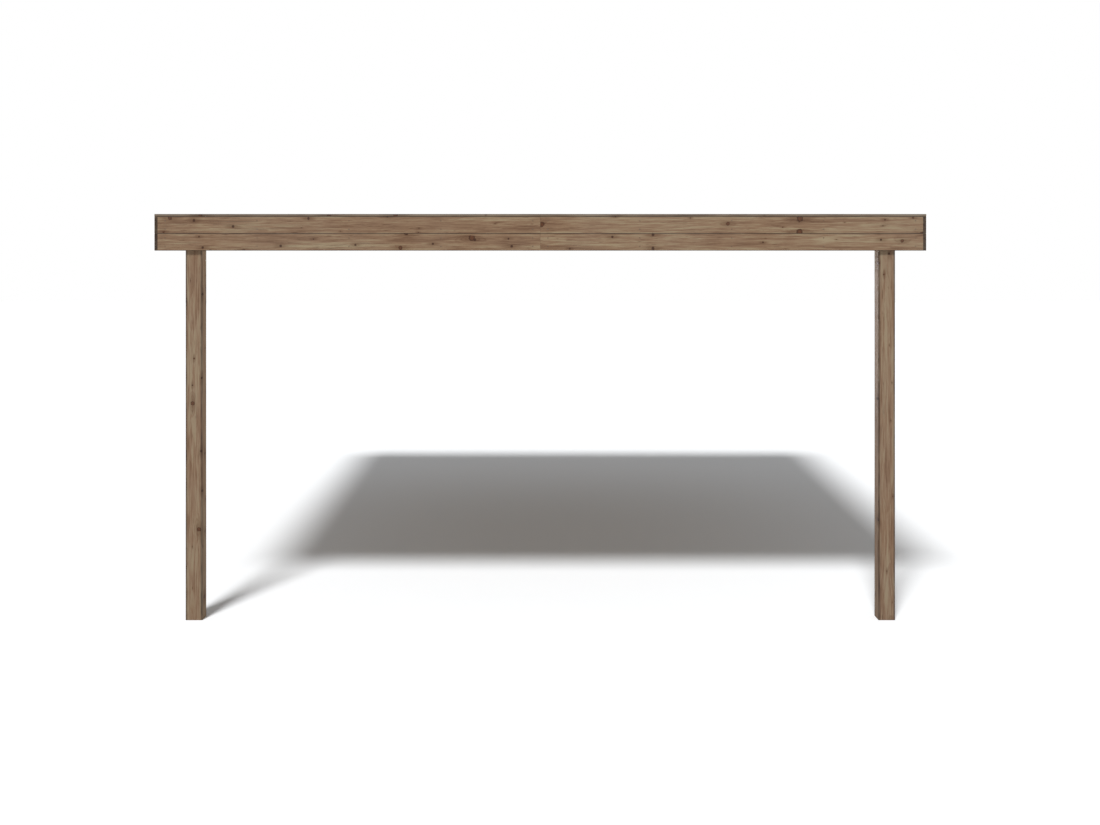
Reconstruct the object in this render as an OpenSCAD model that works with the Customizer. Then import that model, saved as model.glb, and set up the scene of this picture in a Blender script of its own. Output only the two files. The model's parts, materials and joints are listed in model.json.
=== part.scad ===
// Flat-roofed wooden patio cover that leans on a house wall.
// Two posts and a front beam carry the outer edge, and a ledger bolted to the wall carries the rear.
// Rafters run from the ledger to the beam, with boards and a membrane on top of them.
// A double fascia board and a thin capping strip go round the three open edges.
//
// +X is to the right as seen from the garden, the wall is the plane y = 0 and the garden is towards -Y.
// The origin is the centre of the ledger's rear face.

/* [Overall] */
// Width over the side fascias
cover_w = 4610; // [3600:10:5600]
// Depth from the wall to the front of the fascia
cover_d = 4400; // [3000:10:5400]
// Height from the ground to the underside of the front beam
post_h = 2220; // [1900:10:2700]

/* [Posts] */
// Side of the square posts, which is also the thickness of the front beam
post_side = 100; // [80:5:150]
// Distance from the outside of the side fascia to the outer face of a post
post_inset = 181; // [40:1:700]
// Width of the bevel along each long edge of a post
post_arris = 4; // [1:1:12]

/* [Roof frame] */
// Height of the beam, the ledger, the rafters and the noggings
timber_h = 145; // [120:5:220]
// Thickness of the ledger
ledger_t = 45; // [38:1:75]
// Thickness of a rafter
rafter_t = 45; // [38:1:75]
// Number of rafters, with the two edge rafters
rafter_n = 8; // [5:1:9]
// Thickness of a nogging, the short piece between two rafters
nogging_t = 45; // [38:1:75]

/* [Roof covering] */
// Thickness of the roof boards
deck_t = 18; // [16:1:27]
// Thickness of the membrane
membrane_t = 2; // [1:0.5:4]
// Width of the kerb battens round the edge of the roof
kerb_w = 45; // [38:1:70]
// Height of the kerb battens
kerb_h = 34; // [28:1:60]

/* [Fascia and capping] */
// How far the fascia, two boards one above the other, reaches below the frame
fascia_drop = 7; // [2:1:40]
// Thickness of a fascia board
fascia_t = 19; // [16:1:28]
// Thickness of the capping strips
cap_t = 15; // [12:1:24]
// How far a capping strip reaches past the membrane, over the roof
cap_lip = 8; // [0:1:20]

/* [Wall bolts] */
// Diameter of the bolt holes in the ledger
bolt_d = 13; // [9:0.5:17]
// Distance between the two holes of a pair, one above the other
bolt_pitch = 75; // [50:1:85]

/* [Hidden] */
$fn = 48;

// Levels
timber_top = timber_h / 2;
timber_bottom = -timber_h / 2;
ground = timber_bottom - post_h;
deck_top = timber_top + deck_t;
kerb_top = deck_top + kerb_h;
fascia_bottom = timber_bottom - fascia_drop;
fascia_board_h = (kerb_top - fascia_bottom) / 2;

// Plan
frame_x = cover_w / 2 - fascia_t;
frame_front = fascia_t - cover_d;
beam_back = frame_front + post_side;
rafter_l = -ledger_t - beam_back;
rafter_pitch = (2 * frame_x - rafter_t) / (rafter_n - 1);
bay_n = rafter_n - 1;
nogging_y = (beam_back - ledger_t) / 2;
post_x = cover_w / 2 - post_inset - post_side / 2;
tray_x = frame_x - kerb_w;
tray_front = frame_front + kerb_w;
cap_in = kerb_w + membrane_t + cap_lip;
cap_w = fascia_t + cap_in;
hole_over = 1;

// Sides and halves: -1 is left, below or behind, +1 is right, above or in front
SIDES = [-1, 1];
SIDE_NAMES = ["left", "right"];
FASCIA_ROWS = ["lower", "upper"];
HALF_NAMES = ["rear", "front"];

RAFTERS = [for (i = [1 : rafter_n]) str("rafter_", i)];
NOGGINGS = [for (i = [1 : bay_n]) str("nogging_", i)];
FRONT_FASCIAS = [for (r = FASCIA_ROWS, s = SIDE_NAMES) str("fascia_front_", r, "_", s)];
SIDE_FASCIAS = [for (s = SIDE_NAMES, r = FASCIA_ROWS, h = HALF_NAMES) str("fascia_", s, "_", r, "_", h)];
FRONT_CAPS = [for (s = SIDE_NAMES) str("cap_front_", s)];
SIDE_CAPS = [for (s = SIDE_NAMES, h = HALF_NAMES) str("cap_", s, "_", h)];
WALL_CAPS = [for (s = SIDE_NAMES) str("cap_wall_", s)];

WOOD = [0.55, 0.46, 0.37];
FRAME_WOOD = [0.63, 0.54, 0.42];
CAP_WOOD = [0.52, 0.46, 0.40];

// A box between two opposite corners, given in any order
module box(a, b) {
    low = [for (i = [0 : 2]) min(a[i], b[i])];
    high = [for (i = [0 : 2]) max(a[i], b[i])];
    translate(low) cube(high - low);
}

// A square post on the ground, bevelled along its four long edges
module post(x) {
    half = post_side / 2;
    flat = half - post_arris;
    color(WOOD)
        translate([x, frame_front + half, ground])
            linear_extrude(post_h)
                polygon([
                    [-flat, -half], [flat, -half], [half, -flat], [half, flat],
                    [flat, half], [-flat, half], [-half, flat], [-half, -flat]
                ]);
}

// The beam lies on both posts, flush with their front and back
module front_beam() {
    color(FRAME_WOOD)
        box([-frame_x, frame_front, timber_bottom], [frame_x, beam_back, timber_top]);
}

// The ledger stands flat against the wall and has a pair of bolt holes in every other bay
module wall_ledger() {
    color(FRAME_WOOD) difference() {
        box([-frame_x, -ledger_t, timber_bottom], [frame_x, 0, timber_top]);
        for (bay = [1 : 2 : bay_n], side = SIDES)
            translate([bay_centre(bay), hole_over, side * bolt_pitch / 2])
                rotate([90, 0, 0])
                    cylinder(d = bolt_d, h = ledger_t + 2 * hole_over);
    }
}

// Rafters are set out from both sides to whole millimetres, and a bay is the space between two of them
function rafter_step(i) = round((i - 1) * rafter_pitch);
function rafter_left(i) =
    2 * i <= rafter_n + 1 ? -frame_x + rafter_step(i) : frame_x - rafter_t - rafter_step(rafter_n + 1 - i);
function bay_centre(i) = (rafter_left(i) + rafter_t + rafter_left(i + 1)) / 2;

// Rafters run from the beam to the ledger, and the first and last are flush with the frame's sides
module rafter(i) {
    color(FRAME_WOOD)
        box([rafter_left(i), beam_back, timber_bottom], [rafter_left(i) + rafter_t, -ledger_t, timber_top]);
}

// Noggings keep the rafters upright, halfway along them
module nogging(i) {
    color(FRAME_WOOD)
        box(
            [rafter_left(i) + rafter_t, nogging_y - nogging_t / 2, timber_bottom],
            [rafter_left(i + 1), nogging_y + nogging_t / 2, timber_top]
        );
}

module roof_deck() {
    color(FRAME_WOOD)
        box([-frame_x, frame_front, timber_top], [frame_x, 0, deck_top]);
}

// A tray that lies on the boards and is turned up against the kerbs
module roof_membrane() {
    color([0.16, 0.16, 0.17]) difference() {
        box([-tray_x, tray_front, deck_top], [tray_x, -kerb_w, kerb_top]);
        box(
            [-tray_x + membrane_t, tray_front + membrane_t, deck_top + membrane_t],
            [tray_x - membrane_t, -kerb_w - membrane_t, kerb_top + hole_over]
        );
    }
}

// Kerb battens stand on the edge of the boards, behind the fascia and against the wall
module kerb_across(y_out, y_in) {
    color(FRAME_WOOD)
        box([-frame_x, y_out, deck_top], [frame_x, y_in, kerb_top]);
}

module kerb_along(side) {
    color(FRAME_WOOD)
        box([side * frame_x, tray_front, deck_top], [side * tray_x, -kerb_w, kerb_top]);
}

// Front fascia boards meet in the middle and stop behind the side fascia's front ends
module fascia_front(row, side) {
    low = fascia_bottom + row * fascia_board_h;
    color(WOOD)
        box([0, -cover_d, low], [side * frame_x, frame_front, low + fascia_board_h]);
}

// Side fascia boards run from the wall to the very front, in two lengths
module fascia_side(side, row, half) {
    low = fascia_bottom + row * fascia_board_h;
    back = -half * cover_d / 2;
    color(WOOD)
        box([side * frame_x, back, low], [side * cover_w / 2, back - cover_d / 2, low + fascia_board_h]);
}

// Capping strips lie on the fascia and the kerb; the front pair runs across the whole width
module cap_front(side) {
    color(CAP_WOOD)
        box([0, -cover_d, kerb_top], [side * cover_w / 2, -cover_d + cap_w, kerb_top + cap_t]);
}

module cap_side(side, half) {
    run = (cover_d - cap_w - cap_in) / 2;
    back = -cap_in - half * run;
    color(CAP_WOOD)
        box(
            [side * (cover_w / 2 - cap_w), back, kerb_top],
            [side * cover_w / 2, back - run, kerb_top + cap_t]
        );
}

module cap_wall(side) {
    color(CAP_WOOD)
        box([0, 0, kerb_top], [side * cover_w / 2, -cap_in, kerb_top + cap_t]);
}

post(-post_x);  // post_left
post(post_x);  // post_right
front_beam();
wall_ledger();
for (i = [1 : rafter_n])
    rafter(i);
for (i = [1 : bay_n])
    nogging(i);
roof_deck();
roof_membrane();
kerb_across(frame_front, tray_front);  // kerb_front
kerb_along(-1);  // kerb_left
kerb_along(1);  // kerb_right
kerb_across(-kerb_w, 0);  // kerb_wall
for (r = [0, 1], s = [0, 1])
    fascia_front(r, SIDES[s]);
for (s = [0, 1], r = [0, 1], h = [0, 1])
    fascia_side(SIDES[s], r, h);
for (s = [0, 1])
    cap_front(SIDES[s]);
for (s = [0, 1], h = [0, 1])
    cap_side(SIDES[s], h);
for (s = [0, 1])
    cap_wall(SIDES[s]);
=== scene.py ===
# %% [markdown]
# # A wooden patio cover, finished around its frame
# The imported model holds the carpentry: posts, beam, ledger, rafters, boards and capping strips as plain blocks.
# This script gives each of them its planed shape and its timber, adds the hangers, plates and screws that hold
# them together, and sets up a plain studio. Every place is read from the frame, so nothing has to be fitted.

# %% Load the frame
import json
import math

import bpy
import numpy as np
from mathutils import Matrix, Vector


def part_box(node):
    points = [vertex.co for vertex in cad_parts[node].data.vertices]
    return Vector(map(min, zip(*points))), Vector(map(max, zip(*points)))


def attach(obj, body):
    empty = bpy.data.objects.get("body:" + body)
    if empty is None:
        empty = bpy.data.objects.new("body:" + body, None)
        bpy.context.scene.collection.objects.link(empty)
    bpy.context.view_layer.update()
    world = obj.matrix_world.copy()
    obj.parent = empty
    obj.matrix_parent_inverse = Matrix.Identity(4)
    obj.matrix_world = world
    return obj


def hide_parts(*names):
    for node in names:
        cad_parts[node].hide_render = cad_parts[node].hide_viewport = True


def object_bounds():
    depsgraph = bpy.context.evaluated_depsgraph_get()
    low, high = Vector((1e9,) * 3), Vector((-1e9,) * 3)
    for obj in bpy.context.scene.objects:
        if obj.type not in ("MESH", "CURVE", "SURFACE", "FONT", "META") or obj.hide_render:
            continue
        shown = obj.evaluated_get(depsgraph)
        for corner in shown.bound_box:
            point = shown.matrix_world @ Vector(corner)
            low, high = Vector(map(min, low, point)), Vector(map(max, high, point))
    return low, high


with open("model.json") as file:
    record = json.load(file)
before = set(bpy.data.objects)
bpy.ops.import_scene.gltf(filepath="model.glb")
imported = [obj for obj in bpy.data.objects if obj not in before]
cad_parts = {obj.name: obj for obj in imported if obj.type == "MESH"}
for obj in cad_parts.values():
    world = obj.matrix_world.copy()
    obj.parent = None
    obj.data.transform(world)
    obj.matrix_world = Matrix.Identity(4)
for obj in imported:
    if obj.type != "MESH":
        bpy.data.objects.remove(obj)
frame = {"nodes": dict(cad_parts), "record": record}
cad_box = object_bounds()
cad_low, cad_high = cad_box
NODES = sorted(frame["nodes"])
BOX = {name: tuple(np.array(corner, float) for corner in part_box(name)) for name in NODES}
scene = bpy.context.scene
rng = np.random.default_rng(1907)
print(f"frame: {len(NODES)} nodes, from {cad_low[:]} to {cad_high[:]}")

# %% [markdown]
# ## The camera
# The cover is looked at squarely from the garden, from a stepladder's height, so that the eye is level with the
# fascia: neither the underside nor the top of the roof shows. The view is level, and the lens is shifted down
# instead of being tilted, as an architect's camera is, because that keeps both posts upright.

# %% Place the camera
EYE_HEIGHT = 2.34
EYE_DISTANCE = 7.93
EYE_RIGHT = 0.0216
SENSOR = 36.0
LENS = 43.46

eye = bpy.data.cameras.new("garden_view")
eye.sensor_width = SENSOR
eye.lens = LENS
eye.shift_x = 0.0055
eye.shift_y = -0.1665
camera = bpy.data.objects.new("garden_view", eye)
camera.location = (EYE_RIGHT, cad_low.y - EYE_DISTANCE, cad_low.z + EYE_HEIGHT)
camera.rotation_euler = (math.pi / 2, 0.0, 0.0)
scene.collection.objects.link(camera)
scene.camera = camera
print("camera at", [round(v, 3) for v in camera.location])

# %% [markdown]
# ## A small helper for node trees
# Shader nodes are easiest to read when a formula looks like a formula. `Graph` adds one node at a time to a tree
# and hands back the socket that carries its result, so the socket can go straight into the next call.

# %% Node helper


class Graph:
    """Adds nodes to one tree. An input that is a socket is linked, and any other input is set as a value."""

    def __init__(self, tree):
        self.tree = tree

    def feed(self, node, inputs):
        for key, value in inputs.items():
            if isinstance(value, bpy.types.NodeSocket):
                self.tree.links.new(value, node.inputs[key])
            else:
                node.inputs[key].default_value = value
        return node

    def add(self, kind, inputs=None, **settings):
        node = self.tree.nodes.new(kind)
        for name, value in settings.items():
            setattr(node, name, value)
        return self.feed(node, inputs or {})

    def math(self, operation, *values, clamp=False):
        inputs = dict(enumerate(values))
        return self.add("ShaderNodeMath", inputs, operation=operation, use_clamp=clamp).outputs[0]

    def smooth(self, value, start, end, low=0.0, high=1.0):
        """Goes softly from low to high while value goes from start to end."""
        inputs = {"Value": value, "From Min": start, "From Max": end, "To Min": low, "To Max": high}
        return self.add("ShaderNodeMapRange", inputs, interpolation_type="SMOOTHSTEP").outputs[0]

    def stretch(self, vector, x, y, z):
        """Multiplies a vector by a scale along each axis."""
        return self.add("ShaderNodeVectorMath", {0: vector, 1: (x, y, z)}, operation="MULTIPLY").outputs[0]

    def split(self, vector):
        return self.add("ShaderNodeSeparateXYZ", {0: vector}).outputs[:]

    def join(self, x, y, z=0.0):
        return self.add("ShaderNodeCombineXYZ", {0: x, 1: y, 2: z}).outputs[0]

    def noise(self, vector, scale=1.0, detail=2.0, roughness=0.5):
        inputs = {"Vector": vector, "Scale": scale, "Detail": detail, "Roughness": roughness}
        return self.add("ShaderNodeTexNoise", inputs).outputs[0]

    def mix(self, share, first, second, blend="MIX"):
        """Mixes two colours: share 0 is the first, and share 1 the second."""
        inputs = {0: share, 6: first, 7: second}
        return self.add("ShaderNodeMix", inputs, data_type="RGBA", blend_type=blend).outputs[2]

    def attribute(self, name, output="Fac"):
        return self.add("ShaderNodeAttribute", attribute_name=name).outputs[output]


def new_group(name, inputs, outputs):
    """A shader node group. inputs holds (name, socket type, value) and outputs (name, socket type)."""
    tree = bpy.data.node_groups.new(name, "ShaderNodeTree")
    for label, kind, value in inputs:
        socket = tree.interface.new_socket(label, in_out="INPUT", socket_type=kind)
        if value is not None:
            socket.default_value = value
    for label, kind in outputs:
        tree.interface.new_socket(label, in_out="OUTPUT", socket_type=kind)
    graph = Graph(tree)
    given = graph.add("NodeGroupInput").outputs
    return tree, graph, given


def close_group(graph, **results):
    """Leads each result to the group output that has its name."""
    graph.add("NodeGroupOutput", results)


def tone(red, green, blue):
    """A colour given as screen values from 0 to 255, turned into the linear values that a shader takes."""
    screen = np.array([red, green, blue]) / 255
    linear = np.where(screen <= 0.04045, screen / 12.92, ((screen + 0.055) / 1.055) ** 2.4)
    return (*linear.tolist(), 1.0)


# %% [markdown]
# ## Timber as a solid
# A board is cut out of a trunk, so its pattern runs through it: rings round the pith, which show as streaks on
# the faces and as arcs on the end grain, and knots where branches started at the pith. A flat picture of wood
# breaks at every edge. Here each board carries its own coordinates in the trunk instead: along the pith, across
# it, and away from it. The rings are the distance from the pith, and a knot is a cone about a line that leaves
# the pith at one height and one angle. A ring swells outwards where it meets a branch, which bends the grain
# round the knot on any face, as it does in a real plank.

# %% The timber group
LATE_START = 0.45


def timber_knots(g, along, angle, radius, board, amount, spacing, fan, most):
    """Distance to the nearest branch, in knot radii, with the swelling of the rings round it, in metres.

    Branches are about spacing apart along the pith and fan apart in angle round it, and most is their
    largest radius. The result is the plain distance and one that is squeezed along the grain, then the swelling.
    """
    cells = g.join(
        g.math("MULTIPLY_ADD", along, 1 / spacing, g.math("MULTIPLY", board, 31.0)),
        g.math("MULTIPLY_ADD", angle, 1 / fan, g.math("MULTIPLY", board, 7.0)),
    )
    branch = g.add("ShaderNodeTexVoronoi", {"Vector": cells, "Scale": 1.0}, voronoi_dimensions="2D")
    away = g.add("ShaderNodeVectorMath", {0: cells, 1: branch.outputs["Position"]}, operation="SUBTRACT")
    away_x, away_a, _ = g.split(away.outputs[0])
    away_x = g.math("MULTIPLY", away_x, spacing)
    away_a = g.math("MULTIPLY", g.math("MULTIPLY", away_a, fan), radius)
    chance = g.split(branch.outputs["Color"])[0]
    share = g.math("DIVIDE", g.math("SUBTRACT", chance, g.math("SUBTRACT", 1.0, amount)), amount, clamp=True)
    size = g.math("MAXIMUM", g.math("MULTIPLY", share, most), 0.0004)
    squared = g.math("MULTIPLY_ADD", away_x, away_x, g.math("MULTIPLY", away_a, away_a))
    near = g.math("DIVIDE", g.math("SQRT", squared), size)
    long_x = g.math("DIVIDE", away_x, 3.2)
    long_squared = g.math("MULTIPLY_ADD", long_x, long_x, g.math("MULTIPLY", away_a, away_a))
    long_near = g.math("DIVIDE", g.math("SQRT", long_squared), size)
    falling = g.math("EXPONENT", g.math("MULTIPLY", g.math("MULTIPLY", long_near, long_near), -0.4))
    swell = g.math("MULTIPLY", g.math("MULTIPLY", falling, size), 0.9)
    return near, long_near, swell


def build_timber_group():
    """Colour, roughness and height of planed softwood, from its place in the trunk."""
    tree, g, given = new_group(
        "solid_timber",
        [
            ("Trunk", "NodeSocketVector", None),
            ("Board", "NodeSocketFloat", 0.5),
            ("Arris", "NodeSocketFloat", 0.0),
            ("End", "NodeSocketFloat", 0.0),
            ("Dark", "NodeSocketColor", (0.2, 0.1, 0.05, 1)),
            ("Middle", "NodeSocketColor", (0.3, 0.2, 0.1, 1)),
            ("Pale", "NodeSocketColor", (0.4, 0.3, 0.2, 1)),
            ("Knots", "NodeSocketFloat", 0.4),
            ("Ring Width", "NodeSocketFloat", 0.0035),
            ("Ring Contrast", "NodeSocketFloat", 0.3),
            ("Streaks", "NodeSocketFloat", 1.0),
        ],
        [
            ("Color", "NodeSocketColor"),
            ("Roughness", "NodeSocketFloat"),
            ("Height", "NodeSocketFloat"),
        ],
    )
    trunk = given["Trunk"]
    board = given["Board"]
    along, across, depth = g.split(trunk)

    # The pith wanders a little along the trunk, which opens the grain into long arches.
    sway_place = g.math("MULTIPLY_ADD", along, 0.55, g.math("MULTIPLY", board, 90.0))
    sway = g.add("ShaderNodeTexNoise", {"W": sway_place, "Scale": 1.0, "Detail": 2.0}, noise_dimensions="1D")
    sway_y, sway_z, _ = g.split(sway.outputs[1])
    pith_y = g.math("ADD", across, g.math("MULTIPLY_ADD", sway_y, 0.06, -0.03))
    pith_z = g.math("ADD", depth, g.math("MULTIPLY_ADD", sway_z, 0.03, -0.015))
    radius = g.math("SQRT", g.math("MULTIPLY_ADD", pith_y, pith_y, g.math("MULTIPLY", pith_z, pith_z)))
    angle = g.math("ARCTAN2", pith_z, pith_y)
    near, long_near, swell = timber_knots(g, along, angle, radius, board, given["Knots"], 0.38, 0.60, 0.0165)
    pin_near, pin_long, _ = timber_knots(g, along, angle, radius, board, given["Knots"], 0.23, 0.48, 0.0095)

    # Rings: pale early wood turns slowly into dark late wood, which stops sharply.
    ripple = g.noise(g.stretch(trunk, 2.2, 22.0, 22.0), detail=3.0)
    bent = g.math("SUBTRACT", radius, swell)
    bent = g.math("MULTIPLY_ADD", g.math("SUBTRACT", ripple, 0.5), 0.006, bent)
    ring = g.math("DIVIDE", bent, given["Ring Width"])
    phase = g.math("FRACT", ring)
    rise = g.smooth(phase, LATE_START, 0.88)
    fall = g.smooth(phase, 0.92, 1.0, 1.0, 0.0)
    whole = g.math("FLOOR", g.math("MULTIPLY_ADD", board, 50.0, ring))
    strength = g.add("ShaderNodeTexWhiteNoise", {"W": whole}, noise_dimensions="1D").outputs[0]
    late = g.math("MULTIPLY", g.math("MULTIPLY", rise, fall), g.math("MULTIPLY_ADD", strength, 0.7, 0.3))

    # Streaks at three widths: bands of stain, narrow streaks, and single fibres.
    band = g.noise(g.stretch(trunk, 1.3, 24.0, 24.0), detail=3.0, roughness=0.55)
    streak = g.noise(g.stretch(trunk, 6.5, 110.0, 110.0), detail=3.0, roughness=0.65)
    fibre = g.noise(g.stretch(trunk, 40.0, 1300.0, 1300.0), detail=2.0, roughness=0.6)
    shade = g.math("MULTIPLY", g.math("SUBTRACT", band, 0.5), 1.7)
    shade = g.math("MULTIPLY_ADD", g.math("SUBTRACT", streak, 0.5), 1.9, shade)
    shade = g.math("MULTIPLY", shade, given["Streaks"])
    shade = g.math("MULTIPLY_ADD", g.math("SUBTRACT", fibre, 0.5), 0.42, shade)
    shade = g.math("SUBTRACT", shade, g.math("MULTIPLY", late, given["Ring Contrast"]))
    shade = g.math("ADD", shade, g.math("MULTIPLY_ADD", board, 0.18, 0.51), clamp=True)
    color = g.mix(g.math("MULTIPLY", shade, 2.0, clamp=True), given["Dark"], given["Middle"])
    color = g.mix(g.math("MULTIPLY_ADD", shade, 2.0, -1.0, clamp=True), color, given["Pale"])

    # Short dark flecks, where the planer tore the grain and the stain sank in.
    torn = g.smooth(g.noise(g.stretch(trunk, 16.0, 210.0, 210.0), detail=1.5), 0.6, 0.72)
    torn = g.math("MULTIPLY", torn, g.smooth(g.noise(g.stretch(trunk, 2.5, 14.0, 14.0)), 0.42, 0.6))
    color = g.mix(g.math("MULTIPLY", torn, 0.65), color, g.mix(1.0, color, (0.42, 0.33, 0.27, 1), "MULTIPLY"))

    # Long thin drying cracks that follow the grain. They are painted near-black as the shade inside them, and the
    # height gives them only a shallow dip.
    vein = g.noise(g.stretch(trunk, 1.4, 150.0, 150.0), detail=1.0)
    line = g.smooth(g.math("ABSOLUTE", g.math("SUBTRACT", vein, 0.5)), 0.0, 0.016, 1.0, 0.0)
    patch = g.smooth(g.noise(g.stretch(trunk, 1.3, 18.0, 18.0), detail=1.0), 0.54, 0.66)
    crack = g.math("MULTIPLY", line, patch)
    color = g.mix(g.math("MULTIPLY", crack, 0.5), color, (0.035, 0.022, 0.015, 1))

    # Knots: a darker halo along the grain, rings of their own, and a dark rim. Pin knots are dark all over.
    halo = g.smooth(g.math("MINIMUM", long_near, pin_long), 0.6, 2.6, 0.6, 0.0)
    color = g.mix(halo, color, g.mix(1.0, color, (0.52, 0.40, 0.32, 1), "MULTIPLY"))
    ragged = g.math("MULTIPLY_ADD", g.math("SUBTRACT", g.noise(trunk, 120.0, detail=3.0), 0.5), 1.1, near)
    knot = g.smooth(ragged, 0.85, 1.2, 1.0, 0.0)
    heart = g.math("FRACT", g.math("MULTIPLY", ragged, 2.6))
    knot_color = g.mix(heart, tone(110, 68, 42), tone(66, 38, 22))
    color = g.mix(g.math("MULTIPLY", knot, 0.92), color, knot_color)
    rim = g.smooth(g.math("ABSOLUTE", g.math("SUBTRACT", ragged, 0.95)), 0.0, 0.25, 0.85, 0.0)
    color = g.mix(rim, color, tone(50, 27, 14))
    pin = g.smooth(pin_near, 0.7, 1.2, 0.9, 0.0)
    color = g.mix(pin, color, tone(62, 34, 18))

    # End grain drinks more stain. The eased edges get painted shade, a darker colour broken up by a noise.
    end = given["End"]
    color = g.mix(g.math("MULTIPLY", end, 0.8), color, g.mix(1.0, color, (0.36, 0.34, 0.33, 1), "MULTIPLY"))
    shade_breakup = g.noise(g.stretch(trunk, 9.0, 60.0, 60.0), detail=3.0)
    painted_edge_shade = g.math("MULTIPLY", g.smooth(given["Arris"], 0.0, 0.5), g.smooth(shade_breakup, 0.2, 0.75, 1.0, 0.55))
    color = g.mix(painted_edge_shade, color, g.mix(1.0, color, (0.27, 0.26, 0.27, 1), "MULTIPLY"))

    height = g.math("MULTIPLY_ADD", late, 0.3, g.math("MULTIPLY", fibre, 0.35))
    height = g.math("SUBTRACT", height, g.math("MULTIPLY", crack, 0.9))
    height = g.math("ADD", height, g.math("MULTIPLY", g.math("SUBTRACT", knot, rim), 0.35))
    rough = g.math("MULTIPLY_ADD", fibre, 0.22, 0.58)
    rough = g.math("SUBTRACT", rough, g.math("MULTIPLY_ADD", knot, 0.12, g.math("MULTIPLY", late, 0.08)))
    close_group(g, Color=color, Roughness=rough, Height=height)
    return tree


TIMBER = build_timber_group()
print("timber group:", len(TIMBER.nodes), "nodes")

# %% [markdown]
# ## Weather on upward faces
# Rain and sun reach what faces the sky first: planed wood turns silver there, steel goes dull and the membrane
# catches dust. The group reads how far a face looks up and breaks the effect with a slow noise, so one group
# serves wood, rubber and steel, each with its own colour and amount.

# %% The weather group


def build_weather_group():
    """Mixes a colour towards a weathered one on faces that look up, in soft blotches."""
    tree, g, given = new_group(
        "weather",
        [
            ("Color", "NodeSocketColor", (0.5, 0.5, 0.5, 1)),
            ("Weathered", "NodeSocketColor", (0.4, 0.4, 0.4, 1)),
            ("Roughness", "NodeSocketFloat", 0.5),
            ("Amount", "NodeSocketFloat", 0.5),
            ("Everywhere", "NodeSocketFloat", 0.1),
            ("Blotch Size", "NodeSocketFloat", 0.3),
        ],
        [("Color", "NodeSocketColor"), ("Roughness", "NodeSocketFloat")],
    )
    place = g.add("ShaderNodeTexCoord").outputs["Object"]
    facing = g.split(g.add("ShaderNodeNewGeometry").outputs["Normal"])[2]
    up = g.smooth(facing, 0.2, 0.95)
    scale = g.math("DIVIDE", 1.0, given["Blotch Size"])
    cloud = g.noise(place, scale, detail=5.0, roughness=0.6)
    reach = g.math("MAXIMUM", up, given["Everywhere"])
    share = g.math("MULTIPLY", reach, g.smooth(cloud, 0.3, 0.7))
    share = g.math("MULTIPLY", share, given["Amount"], clamp=True)
    color = g.mix(share, given["Color"], given["Weathered"])
    rough = g.math("MULTIPLY_ADD", share, 0.25, given["Roughness"], clamp=True)
    close_group(g, Color=color, Roughness=rough)
    return tree


WEATHER = build_weather_group()
print("weather group:", len(WEATHER.nodes), "nodes")

# %% [markdown]
# ## Five timbers, one recipe
# All the wood is pressure-treated softwood with a brown tint. What differs is how it was chosen and how it lies:
# the fascia and posts are streaky and knotty, the capping strips stand in the rain and have gone greyer, and the
# rafters and roof boards under the roof have kept a yellower brown. Each material is the same group with its own
# tones, and the shader itself stays in the material, where its plain values can be set on its own sockets.

# %% Materials


def new_material(name):
    """An empty node material with its output and a Principled shader already joined."""
    material = bpy.data.materials.new(name)
    material.use_nodes = True
    material.node_tree.nodes.clear()
    g = Graph(material.node_tree)
    shader = g.add("ShaderNodeBsdfPrincipled")
    g.add("ShaderNodeOutputMaterial", {"Surface": shader.outputs[0]})
    return material, g, shader


def weathered(g, color, roughness, grey, amount, everywhere, size):
    """Runs a colour and a roughness through the weather group."""
    inputs = {
        "Color": color,
        "Weathered": grey,
        "Roughness": roughness,
        "Amount": amount,
        "Everywhere": everywhere,
        "Blotch Size": size,
    }
    outputs = g.add("ShaderNodeGroup", inputs, node_tree=WEATHER).outputs
    return outputs["Color"], outputs["Roughness"]


def finish_surface(g, shader, color, rough, height, relief, strength):
    """Leads colour, roughness and a height into the shader. relief is how far a height of 1 stands out."""
    bump = g.add("ShaderNodeBump", {"Height": height, "Distance": relief, "Strength": strength})
    g.feed(shader, {"Base Color": color, "Roughness": rough, "Normal": bump.outputs[0]})


def timber_material(name, dark, middle, pale, knots, ring_width, contrast, streaks, grey):
    """Planed softwood: grey is how much its upward faces have weathered."""
    material, g, shader = new_material(name)
    inputs = {
        "Trunk": g.attribute("trunk", "Vector"),
        "Board": g.attribute("board"),
        "Arris": g.attribute("arris"),
        "End": g.attribute("end"),
        "Dark": dark,
        "Middle": middle,
        "Pale": pale,
        "Knots": knots,
        "Ring Width": ring_width,
        "Ring Contrast": contrast,
        "Streaks": streaks,
    }
    wood = g.add("ShaderNodeGroup", inputs, node_tree=TIMBER).outputs
    color, rough = weathered(g, wood["Color"], wood["Roughness"], SILVER_GREY, grey, 0.12, 0.35)
    finish_surface(g, shader, color, rough, wood["Height"], 0.0006, 0.7)
    shader.inputs["Specular IOR Level"].default_value = 0.3
    return material


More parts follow.
